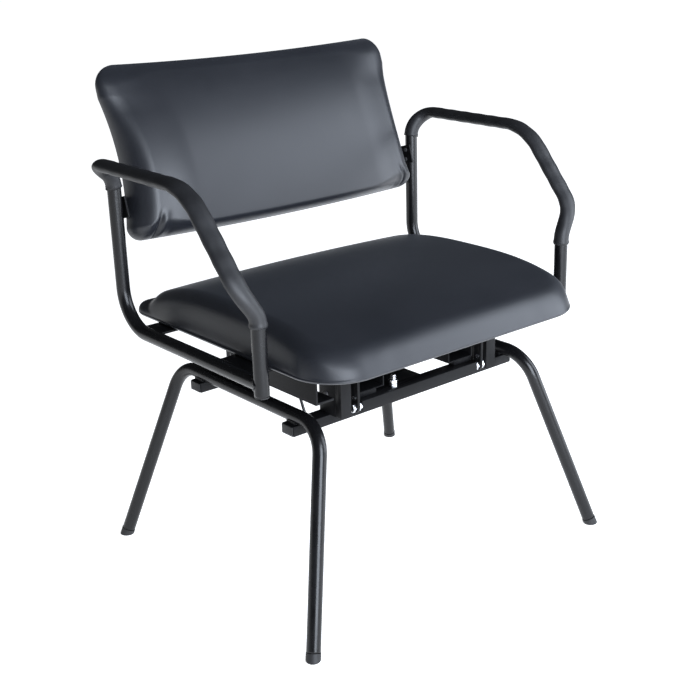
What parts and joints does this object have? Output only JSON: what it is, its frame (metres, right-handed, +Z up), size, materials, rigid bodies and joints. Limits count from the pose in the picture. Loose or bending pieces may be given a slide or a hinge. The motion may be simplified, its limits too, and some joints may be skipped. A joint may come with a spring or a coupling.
{
  "type": "gliding armchair",
  "caption": "Armchair with a padded seat and back, sleeved tube arms, and a seat carriage hung on swinging links over splayed tube legs so that it glides fore and aft.",
  "frame": {"origin": "on the floor under the middle of the chair", "axes": "+Z up, the chair faces -Y, +X to the right as seen from in front"},
  "size_m": [0.7276, 0.558, 0.813],
  "materials": {
    "frame_tube": "satin black powder coat on round tube",
    "frame_flat": "semi-matt black powder coat on flat and box stock",
    "sleeve": "soft matt black sleeve",
    "black_rubber": "moulded black rubber",
    "upholstery": "smooth black vinyl over foam, soft sheen",
    "board": "raw plywood, out of sight",
    "cover": "fine-textured black panel",
    "bright_hardware": "bright zinc plate",
    "screws": "blackened steel",
    "rod_steel": "black oxide"
  },
  "bodies": {
    "base": {"cross_bar_back": "frame_flat", "cross_bar_front": "frame_flat", "cross_bar_plugs": "black_rubber", "foot_cap_back_left": "black_rubber", "foot_cap_back_right": "black_rubber", "foot_cap_front_left": "black_rubber", "foot_cap_front_right": "black_rubber", "hanger_box_back_left": "frame_flat", "hanger_box_back_right": "frame_flat", "hanger_box_front_left": "frame_flat", "hanger_box_front_right": "frame_flat", "hanger_post_back_left": "frame_flat", "hanger_post_back_right": "frame_flat", "hanger_post_front_left": "frame_flat", "hanger_post_front_right": "frame_flat", "hanger_screws": "screws", "leg_frame_left": "frame_tube", "leg_frame_right": "frame_tube", "rail_saddles": "frame_flat", "upper_nuts_and_spacers": "bright_hardware", "upper_pivot_bolts": "bright_hardware"},
    "link_front_left": {"link_front_left": "frame_flat", "link_fittings_front_left": "bright_hardware"},
    "link_front_right": {"link_front_right": "frame_flat", "link_fittings_front_right": "bright_hardware"},
    "link_back_left": {"link_back_left": "frame_flat", "link_fittings_back_left": "bright_hardware"},
    "link_back_right": {"link_back_right": "frame_flat", "link_fittings_back_right": "bright_hardware"},
    "carriage": {"arm_bow_left": "frame_tube", "arm_bow_right": "frame_tube", "arm_sleeve_left": "sleeve", "arm_sleeve_right": "sleeve", "back_board": "board", "back_bracket_left": "frame_flat", "back_bracket_right": "frame_flat", "back_cover": "cover", "back_cushion": "upholstery", "back_screws": "screws", "beam_blocks": "frame_flat", "carriage_bar_back": "frame_flat", "carriage_bar_front": "frame_flat", "carriage_beam_left": "frame_flat", "carriage_beam_right": "frame_flat", "latch_rod": "rod_steel", "lower_pivot_bolts": "bright_hardware", "lower_pivot_nuts": "bright_hardware", "post_plugs": "black_rubber", "seat_board": "board", "seat_cushion": "upholstery", "seat_screws": "screws", "seat_straps": "frame_flat", "side_angle_left": "frame_flat", "side_angle_right": "frame_flat", "side_frame_left": "frame_tube", "side_frame_right": "frame_tube", "side_tabs": "frame_flat", "stop_bolt": "bright_hardware", "stop_nuts": "bright_hardware", "stop_plate": "frame_flat"}
  },
  "joints": [
    {"name": "front_left_swing", "type": "hinge", "parent": "base", "child": "link_front_left", "pos_m": [-0.1339, -0.1626, 0.3786], "axis": [1, 0, 0], "range_deg": [-25, 25]},
    {"name": "seat_level", "type": "hinge", "parent": "link_front_left", "child": "carriage", "pos_m": [-0.1339, -0.1626, 0.3186], "axis": [1, 0, 0], "range_deg": [-25, 25]},
    {"name": "front_right_swing", "type": "hinge", "parent": "base", "child": "link_front_right", "pos_m": [0.1339, -0.1626, 0.3786], "axis": [1, 0, 0], "range_deg": [-25, 25]},
    {"name": "back_left_swing", "type": "hinge", "parent": "base", "child": "link_back_left", "pos_m": [-0.1339, 0.0884, 0.3786], "axis": [1, 0, 0], "range_deg": [-25, 25]},
    {"name": "back_right_swing", "type": "hinge", "parent": "base", "child": "link_back_right", "pos_m": [0.1339, 0.0884, 0.3786], "axis": [1, 0, 0], "range_deg": [-25, 25]}
  ],
  "couplings": [
    {"joint": "seat_level", "follows": "front_left_swing", "ratio": -1},
    {"joint": "front_right_swing", "follows": "front_left_swing", "ratio": 1},
    {"joint": "back_left_swing", "follows": "front_left_swing", "ratio": 1},
    {"joint": "back_right_swing", "follows": "front_left_swing", "ratio": 1}
  ]
}
